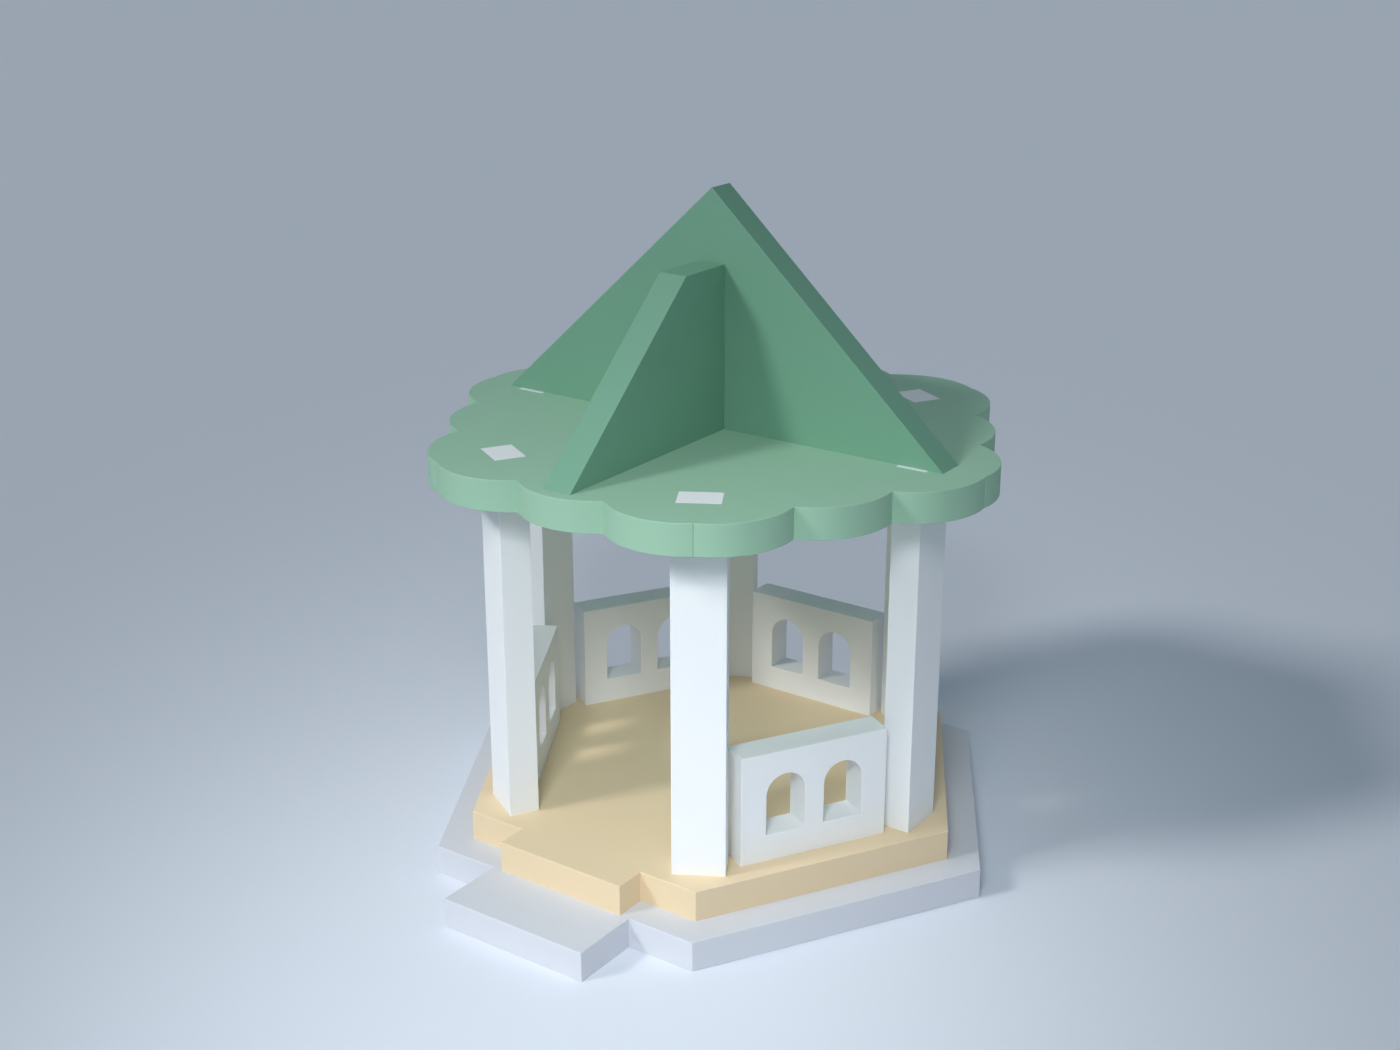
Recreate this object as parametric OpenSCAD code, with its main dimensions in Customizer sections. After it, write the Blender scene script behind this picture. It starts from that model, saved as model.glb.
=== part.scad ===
// Slot-together board model of a six-sided gazebo.
// Every piece is cut from sheet of one thickness. The posts stand in the floor plate and come up
// through the scalloped canopy, and two roof fins lock across each other on top of it.
// Frame: +Z is up, the entry faces -Y, and the origin is the centre of the hexagon at ground level.

/* [Board] */
// Thickness of the sheet that every piece is cut from
board_t = 12; // [8:0.5:14]
// Clearance on each side of a tenon, a tab or a lapped slot
slip_gap = 0.1; // [0.05:0.05:0.3]

/* [Plan] */
// Centre of the model to each corner of the base plate
base_r = 121; // [106:1:150]
// From a corner of the base in to the corner of the floor plate above it
floor_ledge = 14.5; // [6:0.5:24]
// From a corner of the floor plate in to the centre of the post that stands there
post_setback = 18; // [14:0.5:26]

/* [Entry steps] */
// Width of the upper step, which is part of the floor plate
floor_step_w = 56.5; // [30:0.5:80]
// How far the upper step stands out from the side of the floor plate
floor_step_d = 12.5; // [4:0.5:24]
// How much the lower step, which is part of the base plate, is wider at each end
step_side_ledge = 4; // [1:0.5:10]
// Tread of the lower step in front of the upper one
step_tread_d = 28; // [16:0.5:45]

/* [Posts] */
// Width of a post across its broad face
post_w = 20; // [17:0.5:24]
// Height of a post between the floor and the canopy
post_h = 132.5; // [90:0.5:180]
// Width of the tenons at the two ends of a post
tenon_w = 16; // [8:0.5:16.5]

/* [Balustrade panels] */
// Height of a panel above the floor
panel_h = 44; // [38:0.5:70]
// Gap between the end of a panel and the nearest corner of a post
panel_end_gap = 2.1; // [0.3:0.1:4]
// Width of the tab that holds a panel in the floor
panel_tab_w = 28; // [10:1:36]
// Width of an arched window
window_w = 16; // [10:0.5:18]
// Height of an arched window from its sill to its crown
window_h = 24; // [20:0.5:26]
// Height of the sill above the floor
sill_h = 10.5; // [4:0.5:11]
// Distance between the centre lines of the two windows
window_pitch = 24; // [20:0.5:28]

/* [Canopy] */
// Radius of the lobes, of which every side has three in a row
lobe_r = 30; // [27:0.5:35]
// From the centre line of a side's panel in to the line of its lobes' centres
lobe_row_inset = 1; // [0:0.1:6]
// From the line through a post's centre out to the centres of the lobes on its left and right
corner_lobe_aside = 4.5; // [2:0.5:8]

/* [Roof fins] */
// How far the foot of a fin runs out past the centres of the posts
fin_reach = 12; // [8:0.5:16]
// Height of the full triangle of the main fin
main_fin_h = 92; // [70:0.5:130]
// Height at which the cross fin is cut off flat
cross_fin_h = 64; // [30:0.5:66]

/* [Hidden] */
$fn = 96;
// Overshoot of a cutter past the face that it opens
cut_over = 1;
// Sides of the plan, and the angle between one corner and the next
side_count = 6;
side_step = 360 / side_count;
// Directions of the posts, from the right-hand one round by the back to the front right
POST_ANGLES = [for (i = [0:side_count - 1]) i * side_step];
// Directions of the panels, from the front right round to the front left; the entry has none
PANEL_ANGLES = [for (i = [0:side_count - 2]) (i - 1 / 2) * side_step];

// Heights of the faces that the pieces stand on
floor_z = board_t;
deck_z = floor_z + board_t;
canopy_z = deck_z + post_h;
roof_z = canopy_z + board_t;

// Rings on which the corners and the posts stand, from the outside inwards
floor_r = base_r - floor_ledge;
post_ring_r = floor_r - post_setback;
// Centre line of the panels, which is the straight line from post to post
panel_ring_r = post_ring_r * cos(side_step / 2);
// Centre of the model to the fronts of the two steps
floor_step_front = floor_r * cos(side_step / 2) + floor_step_d;
base_step_front = floor_step_front + step_tread_d;
base_step_w = floor_step_w + 2 * step_side_ledge;
// Half the clear width between the corners of two neighbouring posts
bay_half_w = post_ring_r * sin(side_step / 2)
    - post_w / 2 * cos(side_step / 2) - board_t / 2 * sin(side_step / 2);
panel_l = 2 * (bay_half_w - panel_end_gap);
// Radius of the window's round head, and the height at which it springs
arch_r = window_w / 2;
spring_h = sill_h + window_h - arch_r;

// Line on which the centres of a side's lobes lie, and the distance from one to the next along it
lobe_row_r = panel_ring_r - lobe_row_inset;
lobe_pitch = lobe_row_r * tan(side_step / 2) - corner_lobe_aside / cos(side_step / 2);
// Length of the foot of both fins
fin_span = 2 * (post_ring_r + fin_reach);

base_color = "#D4D5DB";
floor_color = "#E9D3AE";
post_color = "#F4F5F5";
canopy_color = "#A0C8AC";
fin_color = "#79AA8F";

// A hexagon with a corner on the X axis, and a step that reaches out to a front on its entry side
module stepped_hexagon(corner_r, step_w, step_front) {
    polygon([for (a = POST_ANGLES) corner_r * [cos(a), sin(a)]]);
    translate([-step_w / 2, -step_front])
        square([step_w, step_front]);
}

// A rectangle on the X axis at a distance from the centre, longer across than along
module ring_rectangle(ring_r, across, along) {
    translate([ring_r, 0])
        square([along, across], center = true);
}

// Holes for a tenon or tab of the given width, turned to each of the angles
module mortises(angles, ring_r, tongue_w) {
    for (a = angles)
        rotate(a)
            ring_rectangle(ring_r, tongue_w + 2 * slip_gap, board_t + 2 * slip_gap);
}

module base_plate() {
    color(base_color)
        linear_extrude(board_t)
            stepped_hexagon(base_r, base_step_w, base_step_front);
}

module floor_plate() {
    color(floor_color)
        translate([0, 0, floor_z])
            linear_extrude(board_t)
                difference() {
                    stepped_hexagon(floor_r, floor_step_w, floor_step_front);
                    mortises(POST_ANGLES, post_ring_r, tenon_w);
                    mortises(PANEL_ANGLES, panel_ring_r, panel_tab_w);
                }
}

// Outline of a post seen on its broad face: a shaft with a tenon at each end
module post_outline() {
    translate([-post_w / 2, 0])
        square([post_w, post_h]);
    translate([-tenon_w / 2, -board_t])
        square([tenon_w, post_h + 2 * board_t]);
}

// Stands an outline up on the deck, broad face outwards, at a distance and a direction
module stand_up(angle, ring_r) {
    rotate(angle)
        translate([ring_r, 0, deck_z])
            rotate([90, 0, 90])
                linear_extrude(board_t, center = true)
                    children();
}

module post(angle) {
    color(post_color)
        stand_up(angle, post_ring_r)
            post_outline();
}

// Opening with a flat sill and a half-round head
module arched_window() {
    translate([-window_w / 2, sill_h])
        square([window_w, spring_h - sill_h]);
    translate([0, spring_h])
        circle(r = arch_r);
}

module panel_outline() {
    difference() {
        translate([-panel_l / 2, 0])
            square([panel_l, panel_h]);
        for (side = [-1, 1])
            translate([side * window_pitch / 2, 0])
                arched_window();
    }
    translate([-panel_tab_w / 2, -board_t])
        square([panel_tab_w, board_t]);
}

module panel(angle) {
    color(post_color)
        stand_up(angle, panel_ring_r)
            panel_outline();
}

// Three equal lobes in a row along every side, about a disc that reaches the line of their centres
module canopy_outline() {
    circle(r = lobe_row_r);
    for (a = POST_ANGLES)
        rotate(a + side_step / 2)
            for (place = [-1:1])
                translate([lobe_row_r, place * lobe_pitch])
                    circle(r = lobe_r);
}

module canopy() {
    color(canopy_color)
        translate([0, 0, canopy_z])
            linear_extrude(board_t)
                difference() {
                    canopy_outline();
                    mortises(POST_ANGLES, post_ring_r, tenon_w);
                }
}

module fin_triangle() {
    polygon([[-fin_span / 2, 0], [fin_span / 2, 0], [0, main_fin_h]]);
}

// Slot across the middle of a fin, between two heights
module lap_slot(low, high) {
    slot_w = board_t + 2 * slip_gap;
    translate([-slot_w / 2, low])
        square([slot_w, high - low]);
}

// Stands a fin outline up on the canopy, along the X axis turned by an angle
module stand_on_canopy(angle) {
    rotate(angle)
        translate([0, 0, roof_z])
            rotate([90, 0, 0])
                linear_extrude(board_t, center = true)
                    children();
}

// The main fin runs along X and drops over the cross fin from above
module main_fin() {
    color(fin_color)
        stand_on_canopy(0)
            difference() {
                fin_triangle();
                lap_slot(-cut_over, cross_fin_h / 2);
            }
}

// The cross fin runs along Y and is slotted from its flat top
module cross_fin() {
    color(fin_color)
        stand_on_canopy(90)
            difference() {
                intersection() {
                    fin_triangle();
                    translate([-fin_span / 2, 0])
                        square([fin_span, cross_fin_h]);
                }
                lap_slot(cross_fin_h / 2, cross_fin_h + cut_over);
            }
}

base_plate();
floor_plate();
post(POST_ANGLES[0]);  // post_right
post(POST_ANGLES[1]);  // post_back_right
post(POST_ANGLES[2]);  // post_back_left
post(POST_ANGLES[3]);  // post_left
post(POST_ANGLES[4]);  // post_front_left
post(POST_ANGLES[5]);  // post_front_right
panel(PANEL_ANGLES[0]);  // panel_front_right
panel(PANEL_ANGLES[1]);  // panel_back_right
panel(PANEL_ANGLES[2]);  // panel_back
panel(PANEL_ANGLES[3]);  // panel_back_left
panel(PANEL_ANGLES[4]);  // panel_front_left
canopy();
main_fin();
cross_fin();
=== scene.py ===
"""Finished looks of a slot-together board model of a six-sided gazebo.

Every board is cut from one sheet, has its arrises softened and is rolled with matt paint. The
finished boards stand exactly where the CAD solids stand, and everything is in metres.
"""
import logging
import math
from dataclasses import dataclass, field
from enum import Enum

import bmesh
import bpy
from mathutils import Euler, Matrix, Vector


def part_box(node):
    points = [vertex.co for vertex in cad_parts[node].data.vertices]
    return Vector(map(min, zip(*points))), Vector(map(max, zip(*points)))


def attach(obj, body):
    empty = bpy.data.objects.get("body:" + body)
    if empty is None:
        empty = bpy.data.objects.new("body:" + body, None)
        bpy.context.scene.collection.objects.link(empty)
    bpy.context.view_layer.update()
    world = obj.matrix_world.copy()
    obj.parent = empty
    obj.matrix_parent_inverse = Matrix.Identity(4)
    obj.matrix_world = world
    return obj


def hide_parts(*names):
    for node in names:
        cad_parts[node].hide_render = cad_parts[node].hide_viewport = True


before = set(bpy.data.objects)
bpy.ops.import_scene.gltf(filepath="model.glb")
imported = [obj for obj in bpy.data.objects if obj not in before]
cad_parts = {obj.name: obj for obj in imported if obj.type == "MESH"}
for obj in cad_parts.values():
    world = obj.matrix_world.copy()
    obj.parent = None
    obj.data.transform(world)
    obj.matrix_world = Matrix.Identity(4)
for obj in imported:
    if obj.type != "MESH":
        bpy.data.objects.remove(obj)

log = logging.getLogger("gazebo")

ROOT_BODY = "root"
MILLIMETRE = 0.001

# Points closer together than this are one corner
MERGE_DISTANCE = 0.005 * MILLIMETRE
# Faces that turn by less than this are one flat face
FLAT_ANGLE = math.radians(0.4)
# Edges that turn out by more than the first of these, or in by more than the second, stay crisp
CRISP_ANGLE = math.radians(36)
CREASE_ANGLE = math.radians(8)
# How far a point may lie from a plane of the solid, or of a fresh cut, and still count as on it
ON_PLANE = 0.05 * MILLIMETRE
ON_CUT = 0.01 * MILLIMETRE
# An edge is upright where its direction's share of Z is above the first of these, and a face is
# level where its normal's share of Z is above the second
UPRIGHT_COSINE = 0.999
LEVEL_COSINE = 0.99
# A face whose normal's share across the sheet is below this was left by the saw
SAWN_COSINE = 0.5
# Size of the steps in which places are compared when a mesh is put in order
PLACE_STEP = 0.001 * MILLIMETRE

# Names of the masks that a board's mesh carries for its paint
ARRIS_MASK = "arris"
CUT_MASK = "cut_edge"
# Value about which a noise texture swings
NOISE_MIDDLE = 0.5

# Size of a column and of a row of nodes in the shader editor, and the column of a group's output
NODE_PITCH = 190.0
OUTLET_COLUMN = 8


class Slot(Enum):
    """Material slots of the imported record."""

    BASE = "base_paint"
    FLOOR = "floor_paint"
    WHITE = "white_paint"
    CANOPY = "canopy_paint"
    FIN = "fin_paint"


class Stand(Enum):
    """How a board stands in the model, which gives the direction across its thickness."""

    FLAT = "flat"
    FACING_OUT = "facing_out"
    ALONG_X = "along_x"
    ALONG_Y = "along_y"


# ---------------------------------------------------------------------------------------------
# Shader groups that every paint shares
# ---------------------------------------------------------------------------------------------


@dataclass
class NodeBench:
    """Places and links the nodes of one node tree."""

    tree: bpy.types.NodeTree

    def place(self, kind: str, column: int, row: int = 0, **settings: object) -> bpy.types.Node:
        """Adds a node and sets its properties.

        Args:
            kind: Blender's name of the node type.
            column: place from left to right, for a tree that reads well.
            row: place from top to bottom.
            settings: properties of the node itself.

        Returns:
            The new node.
        """
        node = self.tree.nodes.new(kind)
        node.location = (column * NODE_PITCH, -row * NODE_PITCH)
        for name, value in settings.items():
            setattr(node, name, value)
        return node

    def join(self, value: object, socket: bpy.types.NodeSocket) -> None:
        """Links an output to an input socket, or gives the input a value of its own.

        Args:
            value: a plain value or an output socket.
            socket: the input socket.
        """
        if isinstance(value, bpy.types.NodeSocket):
            self.tree.links.new(value, socket)
        else:
            socket.default_value = value

    def feed(self, node: bpy.types.Node, **values: object) -> None:
        """Sets or links the inputs of a node.

        Args:
            node: the node whose inputs are fed.
            values: input name, with underscores for spaces, to a plain value or an output socket.
        """
        for name, value in values.items():
            self.join(value, node.inputs[name.replace("_", " ")])

    def math(
        self, operation: str, a: object, b: object, column: int, row: int = 0
    ) -> bpy.types.NodeSocket:
        """Adds a Math node on two values or sockets.

        Args:
            operation: the Math node's operation.
            a: first operand.
            b: second operand.
            column: place from left to right.
            row: place from top to bottom.

        Returns:
            The node's output.
        """
        node = self.place("ShaderNodeMath", column, row, operation=operation)
        self.join(a, node.inputs[0])
        self.join(b, node.inputs[1])
        return node.outputs[0]


@dataclass(frozen=True)
class Port:
    """One socket of a shader group: its name, its type and the value that all paints share."""

    name: str
    kind: str
    start: object = None


def new_group(
    name: str, takes: tuple[Port, ...], gives: tuple[Port, ...]
) -> tuple[bpy.types.NodeTree, bpy.types.Node, bpy.types.Node]:
    """Makes an empty shader group with its sockets.

    Args:
        name: name of the group.
        takes: its inputs.
        gives: its outputs.

    Returns:
        The group, its input node and its output node.
    """
    group = bpy.data.node_groups.new(name, "ShaderNodeTree")
    for in_out, ports in (("INPUT", takes), ("OUTPUT", gives)):
        for port in ports:
            socket = group.interface.new_socket(port.name, in_out=in_out, socket_type=port.kind)
            if port.start is not None:
                socket.default_value = port.start
    inlet = group.nodes.new("NodeGroupInput")
    outlet = group.nodes.new("NodeGroupOutput")
    outlet.location = (OUTLET_COLUMN * NODE_PITCH, 0)
    return group, inlet, outlet


def tone_drift_group() -> bpy.types.NodeTree:
    """Makes the slow change of tone that hand rolling leaves in a coat of paint.

    Returns:
        A group that gives the drifted colour.
    """
    group, inlet, outlet = new_group(
        "tone_drift",
        (
            Port("Vector", "NodeSocketVector"),
            Port("Color", "NodeSocketColor"),
            Port("Patch Scale", "NodeSocketFloat"),
            Port("Patch Fineness", "NodeSocketFloat", 0.45),
            Port("Amount", "NodeSocketFloat"),
        ),
        (Port("Color", "NodeSocketColor"),),
    )
    bench = NodeBench(group)
    slow = bench.place("ShaderNodeTexNoise", 1)
    bench.feed(
        slow,
        Vector=inlet.outputs["Vector"],
        Scale=inlet.outputs["Patch Scale"],
        Roughness=inlet.outputs["Patch Fineness"],
    )
    centred = bench.math("SUBTRACT", slow.outputs["Fac"], NOISE_MIDDLE, 2)
    swing = bench.math("MULTIPLY", centred, inlet.outputs["Amount"], 3)
    level = bench.math("ADD", swing, 1.0, 4)
    scaled = bench.place("ShaderNodeVectorMath", 5, operation="SCALE")
    bench.feed(scaled, Vector=inlet.outputs["Color"], Scale=level)
    bench.feed(outlet, Color=scaled.outputs["Vector"])
    return group


def roller_stipple_group() -> bpy.types.NodeTree:
    """Makes the fine stipple of a foam roller, over the long soft waves of a laid-off coat.

    Returns:
        A group that gives a height and a value that spreads the roughness.
    """
    group, inlet, outlet = new_group(
        "roller_stipple",
        (
            Port("Vector", "NodeSocketVector"),
            Port("Stipple Scale", "NodeSocketFloat"),
            Port("Wave Scale", "NodeSocketFloat", 120.0),
            Port("Wave Share", "NodeSocketFloat", 0.4),
        ),
        (Port("Height", "NodeSocketFloat"), Port("Spread", "NodeSocketFloat")),
    )
    bench = NodeBench(group)
    stipple = bench.place("ShaderNodeTexNoise", 1)
    bench.feed(stipple, Vector=inlet.outputs["Vector"], Scale=inlet.outputs["Stipple Scale"])
    wave = bench.place("ShaderNodeTexNoise", 1, 2)
    bench.feed(wave, Vector=inlet.outputs["Vector"], Scale=inlet.outputs["Wave Scale"], Detail=1.0)
    soft_wave = bench.math("MULTIPLY", wave.outputs["Fac"], inlet.outputs["Wave Share"], 2, 2)
    height = bench.math("ADD", stipple.outputs["Fac"], soft_wave, 3)
    bench.feed(outlet, Height=height, Spread=wave.outputs["Fac"])
    return group


def board_edge_group() -> bpy.types.NodeTree:
    """Makes what the paint does at the edges of a board.

    The cut edge drinks the first coat and stays a little rougher and darker, and the softened arris
    is made a little smoother and is painted a little lighter, as a painted highlight.

    Returns:
        A group that gives the colour, the roughness and the height at the edges.
    """
    group, inlet, outlet = new_group(
        "board_edge",
        (
            Port("Vector", "NodeSocketVector"),
            Port("Color", "NodeSocketColor"),
            Port("Roughness", "NodeSocketFloat"),
            Port("Height", "NodeSocketFloat"),
            Port("Arris", "NodeSocketFloat"),
            Port("Cut", "NodeSocketFloat"),
            Port("Arris Gain", "NodeSocketFloat"),
            Port("Arris Smoothing", "NodeSocketFloat", 0.08),
            Port("Cut Darkening", "NodeSocketFloat", 0.015),
            Port("Cut Roughening", "NodeSocketFloat", 0.06),
            Port("Cut Tooth", "NodeSocketFloat", 0.5),
            Port("Fibre Scale", "NodeSocketFloat", 3200.0),
        ),
        (
            Port("Color", "NodeSocketColor"),
            Port("Roughness", "NodeSocketFloat"),
            Port("Height", "NodeSocketFloat"),
        ),
    )
    bench = NodeBench(group)
    # Painted highlight: the colour is made lighter on the rounded arrises.
    painted_highlight = bench.math("MULTIPLY", inlet.outputs["Arris"], inlet.outputs["Arris Gain"], 1)
    drink = bench.math("MULTIPLY", inlet.outputs["Cut"], inlet.outputs["Cut Darkening"], 1, 1)
    shift = bench.math("SUBTRACT", painted_highlight, drink, 2)
    level = bench.math("ADD", shift, 1.0, 3)
    shade = bench.place("ShaderNodeVectorMath", 4, operation="SCALE")
    bench.feed(shade, Vector=inlet.outputs["Color"], Scale=level)

    rough_cut = bench.math("MULTIPLY", inlet.outputs["Cut"], inlet.outputs["Cut Roughening"], 1, 3)
    smooth_arris = bench.math("MULTIPLY", inlet.outputs["Arris"], inlet.outputs["Arris Smoothing"], 1, 4)
    rough_shift = bench.math("SUBTRACT", rough_cut, smooth_arris, 2, 3)
    rough = bench.math("ADD", inlet.outputs["Roughness"], rough_shift, 3, 3)

    fibre = bench.place("ShaderNodeTexNoise", 1, 6)
    bench.feed(fibre, Vector=inlet.outputs["Vector"], Scale=inlet.outputs["Fibre Scale"], Detail=1.0)
    tooth = bench.math("MULTIPLY", inlet.outputs["Cut"], inlet.outputs["Cut Tooth"], 1, 5)
    raised = bench.math("MULTIPLY", fibre.outputs["Fac"], tooth, 2, 5)
    height = bench.math("ADD", inlet.outputs["Height"], raised, 3, 5)
    bench.feed(outlet, Color=shade.outputs["Vector"], Roughness=rough, Height=height)
    return group


@dataclass
class PaintShop:
    """Holds the shader groups that all the finishes share."""

    drift: bpy.types.NodeTree = field(default_factory=tone_drift_group)
    stipple: bpy.types.NodeTree = field(default_factory=roller_stipple_group)
    edges: bpy.types.NodeTree = field(default_factory=board_edge_group)


@dataclass(frozen=True)
class PaintFinish:
    """One paint, rolled on board: its slot, its colour and how its surface breaks the light."""

    slot: Slot
    color: tuple[float, float, float]
    roughness: float = 0.62
    roughness_spread: float = 0.08
    patch_scale: float = 16.0
    drift: float = 0.05
    stipple_scale: float = 1300.0
    film_height: float = 0.012 * MILLIMETRE
    relief: float = 0.35
    # How much lighter the rounded arrises are painted, as a painted highlight.
    arris_highlight_gain: float = 0.02
    specular: float = 0.35

    def material(self, shop: PaintShop) -> bpy.types.Material:
        """Mixes the paint as a procedural material.

        Args:
            shop: the shader groups that the paints share.

        Returns:
            The new material, named after the slot.
        """
        paint = bpy.data.materials.new(self.slot.value)
        paint.use_nodes = True
        paint.diffuse_color = (*self.color, 1.0)
        paint.node_tree.nodes.clear()
        bench = NodeBench(paint.node_tree)
        place = bench.place("ShaderNodeTexCoord", 0).outputs["Object"]
        arris = bench.place("ShaderNodeAttribute", 0, 2, attribute_name=ARRIS_MASK)
        cut = bench.place("ShaderNodeAttribute", 0, 3, attribute_name=CUT_MASK)

        drift = bench.place("ShaderNodeGroup", 1, 0, node_tree=shop.drift)
        bench.feed(
            drift, Vector=place, Color=(*self.color, 1.0), Patch_Scale=self.patch_scale, Amount=self.drift
        )
        stipple = bench.place("ShaderNodeGroup", 1, 2, node_tree=shop.stipple)
        bench.feed(stipple, Vector=place, Stipple_Scale=self.stipple_scale)

        spread = bench.math("SUBTRACT", stipple.outputs["Spread"], NOISE_MIDDLE, 2, 1)
        swing = bench.math("MULTIPLY", spread, self.roughness_spread, 3, 1)
        rough = bench.math("ADD", swing, self.roughness, 4, 1)

        edges = bench.place("ShaderNodeGroup", 5, 0, node_tree=shop.edges)
        bench.feed(
            edges,
            Vector=place,
            Color=drift.outputs["Color"],
            Roughness=rough,
            Height=stipple.outputs["Height"],
            Arris=arris.outputs["Fac"],
            Cut=cut.outputs["Fac"],
            Arris_Gain=self.arris_highlight_gain,
        )
        bump = bench.place("ShaderNodeBump", 6, 2)
        bench.feed(bump, Strength=self.relief, Distance=self.film_height, Height=edges.outputs["Height"])
        shader = bench.place("ShaderNodeBsdfPrincipled", 7)
        bench.feed(
            shader,
            Base_Color=edges.outputs["Color"],
            Roughness=edges.outputs["Roughness"],
            Normal=bump.outputs["Normal"],
        )
        shader.inputs["Specular IOR Level"].default_value = self.specular
        output = bench.place("ShaderNodeOutputMaterial", 8)
        bench.feed(output, Surface=shader.outputs["BSDF"])
        return paint


BASE_GREY = PaintFinish(Slot.BASE, (0.655, 0.668, 0.712))
FLOOR_SAND = PaintFinish(Slot.FLOOR, (0.815, 0.648, 0.425))
CHALK_WHITE = PaintFinish(Slot.WHITE, (0.905, 0.913, 0.913), drift=0.02)
CANOPY_MINT = PaintFinish(Slot.CANOPY, (0.350, 0.575, 0.410))
# The fins' paint is the canopy's green made darker, as painted shade on the fins.
FIN_MINT_PAINTED_SHADE = PaintFinish(Slot.FIN, (0.190, 0.400, 0.273))
FINISHES = (BASE_GREY, FLOOR_SAND, CHALK_WHITE, CANOPY_MINT, FIN_MINT_PAINTED_SHADE)

# The mixed paints, by slot
Paints = dict[Slot, bpy.types.Material]


# ---------------------------------------------------------------------------------------------
# Boards
# ---------------------------------------------------------------------------------------------


def merged_copy(node: str) -> bmesh.types.BMesh:
    """Copies a CAD solid and joins its loose triangles into one closed shell of flat faces.

    Args:
        node: name of the CAD node.

    Returns:
        A new bmesh in the place of the solid.
    """
    shell = bmesh.new()
    shell.from_mesh(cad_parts[node].data)
    bmesh.ops.remove_doubles(shell, verts=shell.verts, dist=MERGE_DISTANCE)
    bmesh.ops.dissolve_limit(shell, angle_limit=FLAT_ANGLE, verts=shell.verts, edges=shell.edges)
    bmesh.ops.recalc_face_normals(shell, faces=shell.faces)
    return shell


def stepped(point: Vector) -> tuple[int, ...]:
    """Gives a point's place in whole steps along X, Y and Z."""
    return tuple(round(value / PLACE_STEP) for value in point)


def put_in_order(shell: bmesh.types.BMesh) -> None:
    """Sorts the points and faces by place, because a cut leaves them in another order each time.

    Args:
        shell: the mesh, changed in place.
    """
    verts = sorted(shell.verts, key=lambda vert: stepped(vert.co))
    faces = sorted(shell.faces, key=lambda face: stepped(face.calc_center_median()))
    for parts, sorted_parts in ((shell.verts, verts), (shell.faces, faces)):
        rank = {part: number for number, part in enumerate(sorted_parts)}
        parts.sort(key=rank.get)


def is_arris(edge: bmesh.types.BMEdge) -> bool:
    """Tells whether an edge stands out as a crisp corner of the board."""
    return edge.is_manifold and edge.is_convex and edge.calc_face_angle(0.0) > CRISP_ANGLE


def middle(edge: bmesh.types.BMEdge) -> Vector:
    """Gives the point half way along an edge."""
    return (edge.verts[0].co + edge.verts[1].co) / 2


def heights(edge: bmesh.types.BMEdge) -> tuple[float, float]:
    """Gives the lower and the higher end of an edge."""
    ends = sorted(vert.co.z for vert in edge.verts)
    return ends[0], ends[1]


def is_upright(edge: bmesh.types.BMEdge) -> bool:
    """Tells whether an edge stands straight up."""
    run = edge.verts[1].co - edge.verts[0].co
    return abs(run.normalized().z) > UPRIGHT_COSINE


def outermost_chain(edges: list[bmesh.types.BMEdge]) -> list[bmesh.types.BMEdge]:
    """Picks the chain of joined edges that reaches furthest out, which is a plate's outline.

    Args:
        edges: edges of one or more closed chains.

    Returns:
        The edges of the outermost chain.
    """
    left = set(edges)
    chains: list[list[bmesh.types.BMEdge]] = []
    while left:
        chain = [left.pop()]
        for edge in chain:
            for vert in edge.verts:
                joined = [other for other in vert.link_edges if other in left]
                left.difference_update(joined)
                chain.extend(joined)
        chains.append(chain)
    return max(chains, key=lambda chain: max(middle(edge).xy.length for edge in chain))


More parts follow.
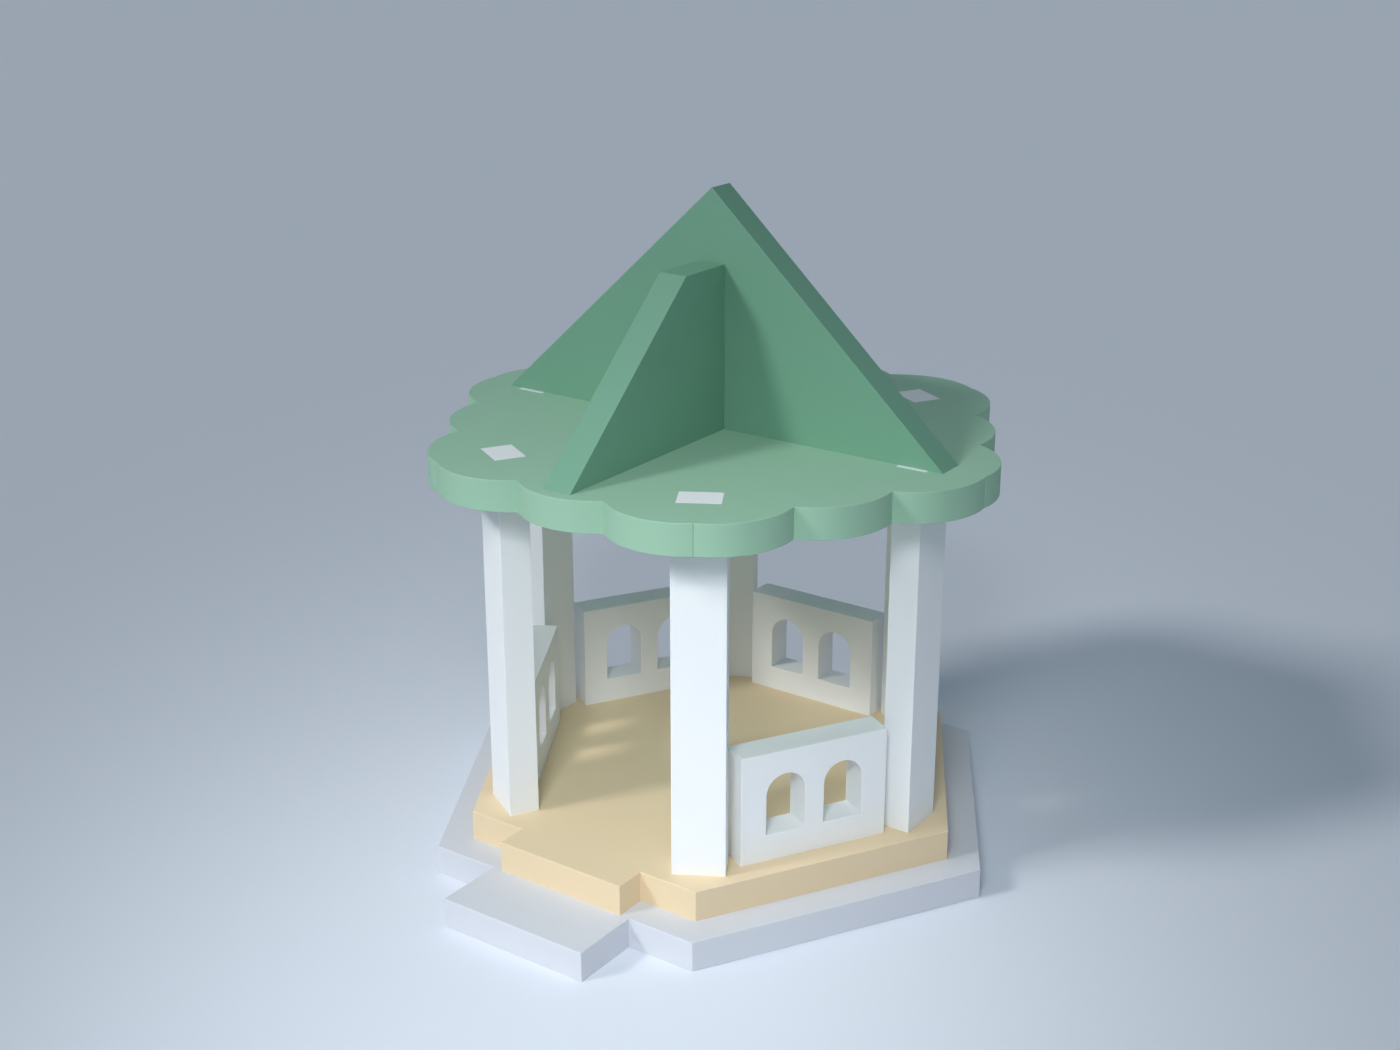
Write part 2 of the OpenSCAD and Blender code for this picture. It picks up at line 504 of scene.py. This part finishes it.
@dataclass
class Board:
    """One board of the model, finished over its CAD solid."""

    node: str
    finish: PaintFinish
    stand: Stand
    arris_r: float = 0.25 * MILLIMETRE
    arris_steps: int = 3
    # How much more a large face counts than a small one for the normals where they meet
    face_weight: int = 100

    def across(self) -> Vector:
        """Gives the direction across the board's thickness.

        Returns:
            A unit vector, pointing up or away from the middle of the model.
        """
        low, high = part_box(self.node)
        centre = (low + high) / 2
        return {
            Stand.FLAT: Vector((0, 0, 1)),
            Stand.FACING_OUT: Vector((centre.x, centre.y, 0)).normalized(),
            Stand.ALONG_X: Vector((0, 1, 0)),
            Stand.ALONG_Y: Vector((1, 0, 0)),
        }[self.stand]

    def soften(self, shell: bmesh.types.BMesh, edges: list[bmesh.types.BMEdge]) -> None:
        """Rounds the chosen arrises a little and marks the round for the paint.

        Args:
            shell: the board's mesh, changed in place.
            edges: the arrises to round.
        """
        arris = shell.faces.layers.float.new(ARRIS_MASK)
        rounded = bmesh.ops.bevel(
            shell,
            geom=edges,
            offset=self.arris_r,
            offset_type="OFFSET",
            affect="EDGES",
            segments=self.arris_steps,
            profile=0.5,
            material=-1,
            clamp_overlap=True,
            loop_slide=True,
        )
        for face in rounded["faces"]:
            face[arris] = 1.0

    def mark_cut_edges(self, shell: bmesh.types.BMesh) -> None:
        """Marks the faces that the saw left, which are those square to the sheet.

        Args:
            shell: the board's mesh, changed in place.
        """
        cut = shell.faces.layers.float.new(CUT_MASK)
        across = self.across()
        for face in shell.faces:
            face[cut] = float(abs(face.normal.dot(across)) < SAWN_COSINE)

    def dress(self, shell: bmesh.types.BMesh, paints: Paints) -> bpy.types.Object:
        """Turns the finished shell into the board's object, paints it and hangs it on its body.

        Args:
            shell: the board's finished mesh, which is freed.
            paints: the materials by slot.

        Returns:
            The board's object.
        """
        self.mark_cut_edges(shell)
        for face in shell.faces:
            face.smooth = True
        for edge in shell.edges:
            limit = CRISP_ANGLE if edge.is_convex else CREASE_ANGLE
            edge.smooth = edge.calc_face_angle(0.0) < limit
        mesh = bpy.data.meshes.new(self.node + "_board")
        shell.to_mesh(mesh)
        shell.free()
        mesh.materials.append(paints[self.finish.slot])
        board = bpy.data.objects.new(self.node + "_board", mesh)
        bpy.context.scene.collection.objects.link(board)
        flatter = board.modifiers.new("flat_faces", "WEIGHTED_NORMAL")
        flatter.keep_sharp = True
        flatter.weight = self.face_weight
        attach(board, ROOT_BODY)
        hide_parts(self.node)
        size = Vector(board.dimensions) / MILLIMETRE
        log.info("%s: %.1f x %.1f x %.1f mm, %d faces", board.name, *size, len(mesh.polygons))
        return board


def plate_arrises(shell: bmesh.types.BMesh, node: str, both_sides: bool) -> list[bmesh.types.BMEdge]:
    """Finds the arrises of a plate's outline, and leaves the mortises crisp.

    Args:
        shell: the plate's mesh.
        node: name of its CAD node.
        both_sides: whether the underside's outline is softened too.

    Returns:
        The edges of the outline, with its upright corners.
    """
    low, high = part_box(node)
    crisp = [edge for edge in shell.edges if is_arris(edge)]
    chosen = [edge for edge in crisp if is_upright(edge)]
    for level in (high.z, low.z) if both_sides else (high.z,):
        rims = [edge for edge in crisp if all(abs(end - level) < ON_PLANE for end in heights(edge))]
        chosen += outermost_chain(rims)
    return chosen


@dataclass
class BasePlates:
    """The grey base plate and the sand-coloured floor plate, each with its own step."""

    base: Board = field(default_factory=lambda: Board("base_plate", BASE_GREY, Stand.FLAT))
    floor: Board = field(default_factory=lambda: Board("floor_plate", FLOOR_SAND, Stand.FLAT))

    def build(self, paints: Paints) -> list[bpy.types.Object]:
        """Cuts, softens and paints both plates.

        Args:
            paints: the materials by slot.

        Returns:
            The two plates.
        """
        made = []
        for board in (self.base, self.floor):
            shell = merged_copy(board.node)
            board.soften(shell, plate_arrises(shell, board.node, board is self.base))
            made.append(board.dress(shell, paints))
        return made


@dataclass
class Posts:
    """The six white posts, each with a tenon at both ends."""

    places: tuple[str, ...] = ("right", "back_right", "back_left", "left", "front_left", "front_right")

    def build(self, paints: Paints) -> list[bpy.types.Object]:
        """Cuts, softens and paints the posts.

        Args:
            paints: the materials by slot.

        Returns:
            The six posts.
        """
        deck_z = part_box("floor_plate")[1].z
        canopy_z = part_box("canopy")[0].z
        made = []
        for place in self.places:
            board = Board("post_" + place, CHALK_WHITE, Stand.FACING_OUT)
            shell = merged_copy(board.node)
            shaft = [
                edge
                for edge in shell.edges
                if is_arris(edge)
                and is_upright(edge)
                and heights(edge)[0] > deck_z - ON_PLANE
                and heights(edge)[1] < canopy_z + ON_PLANE
            ]
            board.soften(shell, shaft)
            made.append(board.dress(shell, paints))
        return made


@dataclass
class Balustrade:
    """The five white panels with two arched windows each, between the posts."""

    places: tuple[str, ...] = ("front_right", "back_right", "back", "back_left", "front_left")

    def build(self, paints: Paints) -> list[bpy.types.Object]:
        """Cuts, softens and paints the panels.

        Args:
            paints: the materials by slot.

        Returns:
            The five panels.
        """
        deck_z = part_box("floor_plate")[1].z
        made = []
        for place in self.places:
            board = Board("panel_" + place, CHALK_WHITE, Stand.FACING_OUT)
            shell = merged_copy(board.node)
            seen = [
                edge
                for edge in shell.edges
                if is_arris(edge)
                and heights(edge)[0] > deck_z - ON_PLANE
                and heights(edge)[1] > deck_z + ON_PLANE
            ]
            board.soften(shell, seen)
            made.append(board.dress(shell, paints))
        return made


@dataclass(frozen=True)
class RimSeam:
    """A fine upright seam in the crease where one side's lobes meet the next side's, cut as a V."""

    heading: float
    width: float = 0.42 * MILLIMETRE
    depth: float = 0.24 * MILLIMETRE
    # How near to the seam's mouth a face is cut, and a point of the cut is sunk
    cut_reach: float = 3.0 * MILLIMETRE
    sink_reach: float = 1.5 * MILLIMETRE

    def cut(self, shell: bmesh.types.BMesh) -> int:
        """Cuts the seam across the rim and its softened arrises.

        Args:
            shell: the canopy's mesh, changed in place.

        Returns:
            The number of points that were sunk.
        """
        outwards = Vector((math.cos(self.heading), math.sin(self.heading), 0))
        round_rim = Vector((-outwards.y, outwards.x, 0))
        crease = [vert.co for vert in shell.verts if abs(vert.co.dot(round_rim)) < ON_PLANE]
        mouth = outwards * max(point.dot(outwards) for point in crease)
        for shift in (-self.width / 2, 0.0, self.width / 2):
            near = [
                face
                for face in shell.faces
                if abs(face.normal.z) < LEVEL_COSINE
                and (face.calc_center_median() - mouth).xy.length < self.cut_reach
            ]
            geometry = {*near, *(edge for face in near for edge in face.edges)}
            geometry.update(vert for face in near for vert in face.verts)
            bmesh.ops.bisect_plane(
                shell,
                geom=list(geometry),
                dist=MERGE_DISTANCE,
                plane_co=mouth + round_rim * shift,
                plane_no=round_rim,
            )
        sunk = [
            vert
            for vert in shell.verts
            if (vert.co - mouth).xy.length < self.sink_reach
            and abs((vert.co - mouth).dot(round_rim)) < ON_CUT
        ]
        bmesh.ops.translate(shell, verts=sunk, vec=-outwards * self.depth)
        return len(sunk)


@dataclass
class Canopy:
    """The scalloped plate that the posts' tenons come up through."""

    board: Board = field(default_factory=lambda: Board("canopy", CANOPY_MINT, Stand.FLAT))
    seam_count: int = 6

    def build(self, paints: Paints) -> list[bpy.types.Object]:
        """Cuts, softens and paints the canopy.

        Args:
            paints: the materials by slot.

        Returns:
            The canopy, in a list.
        """
        shell = merged_copy(self.board.node)
        self.board.soften(shell, plate_arrises(shell, self.board.node, True))
        seam_step = math.tau / self.seam_count
        sunk = sum(RimSeam(place * seam_step).cut(shell) for place in range(self.seam_count))
        log.info("canopy: %d seams, %d points sunk", self.seam_count, sunk)
        put_in_order(shell)
        return [self.board.dress(shell, paints)]


@dataclass
class RoofFins:
    """The two upright boards that cross on top of the canopy."""

    main: Board = field(default_factory=lambda: Board("main_fin", FIN_MINT_PAINTED_SHADE, Stand.ALONG_X))
    cross: Board = field(default_factory=lambda: Board("cross_fin", FIN_MINT_PAINTED_SHADE, Stand.ALONG_Y))
    joint_margin: float = 1.0 * MILLIMETRE

    def build(self, paints: Paints) -> list[bpy.types.Object]:
        """Cuts, softens and paints the fins, and keeps their feet and their joint crisp.

        Args:
            paints: the materials by slot.

        Returns:
            The two fins.
        """
        foot_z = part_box("canopy")[1].z
        low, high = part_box(self.main.node)
        joint_r = (high.y - low.y) / 2 + self.joint_margin
        tip_z = high.z
        made = []
        for board in (self.main, self.cross):
            shell = merged_copy(board.node)
            along = Vector((0, 0, 1)).cross(board.across())
            seen = [
                edge
                for edge in shell.edges
                if is_arris(edge)
                and heights(edge)[1] > foot_z + ON_PLANE
                and (
                    heights(edge)[0] > tip_z - ON_PLANE
                    or max(abs(vert.co.dot(along)) for vert in edge.verts) > joint_r
                )
            ]
            board.soften(shell, seen)
            made.append(board.dress(shell, paints))
        return made


# ---------------------------------------------------------------------------------------------
# Studio
# ---------------------------------------------------------------------------------------------


def towards(heading: float, climb: float) -> Vector:
    """Gives a direction.

    Args:
        heading: angle round the upright axis, from +X towards +Y.
        climb: angle above the floor.

    Returns:
        A unit vector.
    """
    return Vector(
        (math.cos(climb) * math.cos(heading), math.cos(climb) * math.sin(heading), math.sin(climb))
    )


def hang(name: str, light: bpy.types.Light, place: Vector, back: Vector) -> bpy.types.Object:
    """Hangs a lamp in the studio.

    Args:
        name: name of the lamp.
        light: its light.
        place: where it hangs.
        back: direction from what it lights back to the lamp.

    Returns:
        The lamp's object.
    """
    lamp = bpy.data.objects.new(name, light)
    lamp.location = place
    lamp.rotation_euler = back.to_track_quat("Z", "Y").to_euler()
    bpy.context.scene.collection.objects.link(lamp)
    return lamp


@dataclass(frozen=True)
class KeyLight:
    """A large far lamp, whose rays are all but parallel.

    At a level of 1, a board square to it would show its own colour.
    """

    heading: float = math.radians(-122.7)
    climb: float = math.radians(36.0)
    breadth: float = math.radians(11.0)
    level: float = 0.38
    color: tuple[float, float, float] = (1.0, 1.0, 1.0)

    def hang(self) -> bpy.types.Object:
        """Hangs the key.

        Returns:
            The lamp's object.
        """
        light = bpy.data.lights.new("key", "SUN")
        light.angle = self.breadth
        light.energy = self.level * math.pi
        light.color = self.color
        back = towards(self.heading, self.climb)
        return hang("key", light, back, back)


@dataclass(frozen=True)
class GridSoftbox:
    """A square softbox behind a grid, which keeps most of its light on the entry."""

    name: str = "low_fill"
    aim: tuple[float, float, float] = (0.04, -0.14, 0.03)
    heading: float = math.radians(-62.0)
    climb: float = math.radians(44.0)
    distance: float = 0.85
    side: float = 0.25
    power: float = 0.30
    spread: float = math.radians(40.0)
    color: tuple[float, float, float] = (0.95, 1.0, 1.03)

    def hang(self) -> bpy.types.Object:
        """Hangs the softbox and turns it to its aim.

        Returns:
            The lamp's object.
        """
        light = bpy.data.lights.new(self.name, "AREA")
        light.shape = "SQUARE"
        light.size = self.side
        light.energy = self.power
        light.color = self.color
        light.spread = self.spread
        back = towards(self.heading, self.climb)
        return hang(self.name, light, Vector(self.aim) + back * self.distance, back)


@dataclass
class Studio:
    """A pale floor, a soft key from the front left, a low fill, an even surround and the camera.

    The seen colour is the tone of the floor far away, so that no horizon shows.
    """

    floor_r: float = 9.0
    floor_sides: int = 64
    floor_color: tuple[float, float, float] = (0.77, 0.80, 0.87)
    floor_roughness: float = 0.9
    floor_specular: float = 0.1
    surround_color: tuple[float, float, float] = (0.81, 1.0, 1.18)
    surround_level: float = 0.24
    seen_color: tuple[float, float, float] = (0.322, 0.372, 0.441)
    key: KeyLight = KeyLight()
    fill: GridSoftbox = GridSoftbox()
    eye: tuple[float, float, float] = (0.40647, -0.59419, 0.38846)
    heading: float = math.radians(124.987)
    dip: float = math.radians(20.003)
    lens_mm: float = 50.0
    sensor_mm: float = 36.0

    def floor(self) -> bpy.types.Object:
        """Lays the floor that the model stands on.

        Returns:
            The floor's object.
        """
        disc = bmesh.new()
        bmesh.ops.create_circle(disc, cap_ends=True, segments=self.floor_sides, radius=self.floor_r)
        mesh = bpy.data.meshes.new("studio_floor")
        disc.to_mesh(mesh)
        disc.free()
        paper = bpy.data.materials.new("studio_paper")
        paper.use_nodes = True
        bench = NodeBench(paper.node_tree)
        shader = paper.node_tree.nodes["Principled BSDF"]
        bench.feed(shader, Base_Color=(*self.floor_color, 1.0), Roughness=self.floor_roughness)
        shader.inputs["Specular IOR Level"].default_value = self.floor_specular
        mesh.materials.append(paper)
        ground = bpy.data.objects.new("studio_floor", mesh)
        bpy.context.scene.collection.objects.link(ground)
        return ground

    def surround(self) -> None:
        """Lights the room evenly, and shows the pale wall to the camera and in reflections."""
        world = bpy.data.worlds.new("studio_surround")
        world.use_nodes = True
        bpy.context.scene.world = world
        world.node_tree.nodes.clear()
        bench = NodeBench(world.node_tree)
        path = bench.place("ShaderNodeLightPath", 0)
        direct = bench.math("MAXIMUM", path.outputs["Is Camera Ray"], path.outputs["Is Glossy Ray"], 1)
        seen = bench.math("MAXIMUM", direct, path.outputs["Is Transmission Ray"], 2)
        light = bench.place("ShaderNodeBackground", 2, 1)
        bench.feed(light, Color=(*self.surround_color, 1.0), Strength=self.surround_level)
        wall = bench.place("ShaderNodeBackground", 2, 2)
        bench.feed(wall, Color=(*self.seen_color, 1.0), Strength=1.0)
        mix = bench.place("ShaderNodeMixShader", 3)
        for socket, value in zip(mix.inputs, (seen, light.outputs[0], wall.outputs[0])):
            bench.join(value, socket)
        output = bench.place("ShaderNodeOutputWorld", 4)
        bench.feed(output, Surface=mix.outputs[0])

    def camera(self) -> bpy.types.Object:
        """Sets up the camera.

        Returns:
            The camera's object.
        """
        data = bpy.data.cameras.new("camera")
        data.lens = self.lens_mm
        data.sensor_width = self.sensor_mm
        camera = bpy.data.objects.new("camera", data)
        camera.location = self.eye
        camera.rotation_euler = Euler((math.pi / 2 - self.dip, 0.0, self.heading - math.pi / 2))
        bpy.context.scene.collection.objects.link(camera)
        bpy.context.scene.camera = camera
        return camera

    def build(self) -> None:
        """Sets up floor, surround, lamps and camera."""
        self.floor()
        self.surround()
        for lamp in (self.key, self.fill):
            log.info("lamp %s", lamp.hang().name)
        self.camera()
        bpy.context.scene.view_settings.view_transform = "Standard"


def main() -> None:
    """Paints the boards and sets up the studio."""
    logging.basicConfig(level=logging.INFO, format="%(name)s: %(message)s")
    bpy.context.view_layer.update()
    shop = PaintShop()
    paints = {finish.slot: finish.material(shop) for finish in FINISHES}
    for assembly in (BasePlates(), Posts(), Balustrade(), Canopy(), RoofFins()):
        boards = assembly.build(paints)
        log.info("%s: %d boards", type(assembly).__name__, len(boards))
    Studio().build()
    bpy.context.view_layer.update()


if __name__ == "__main__":
    main()
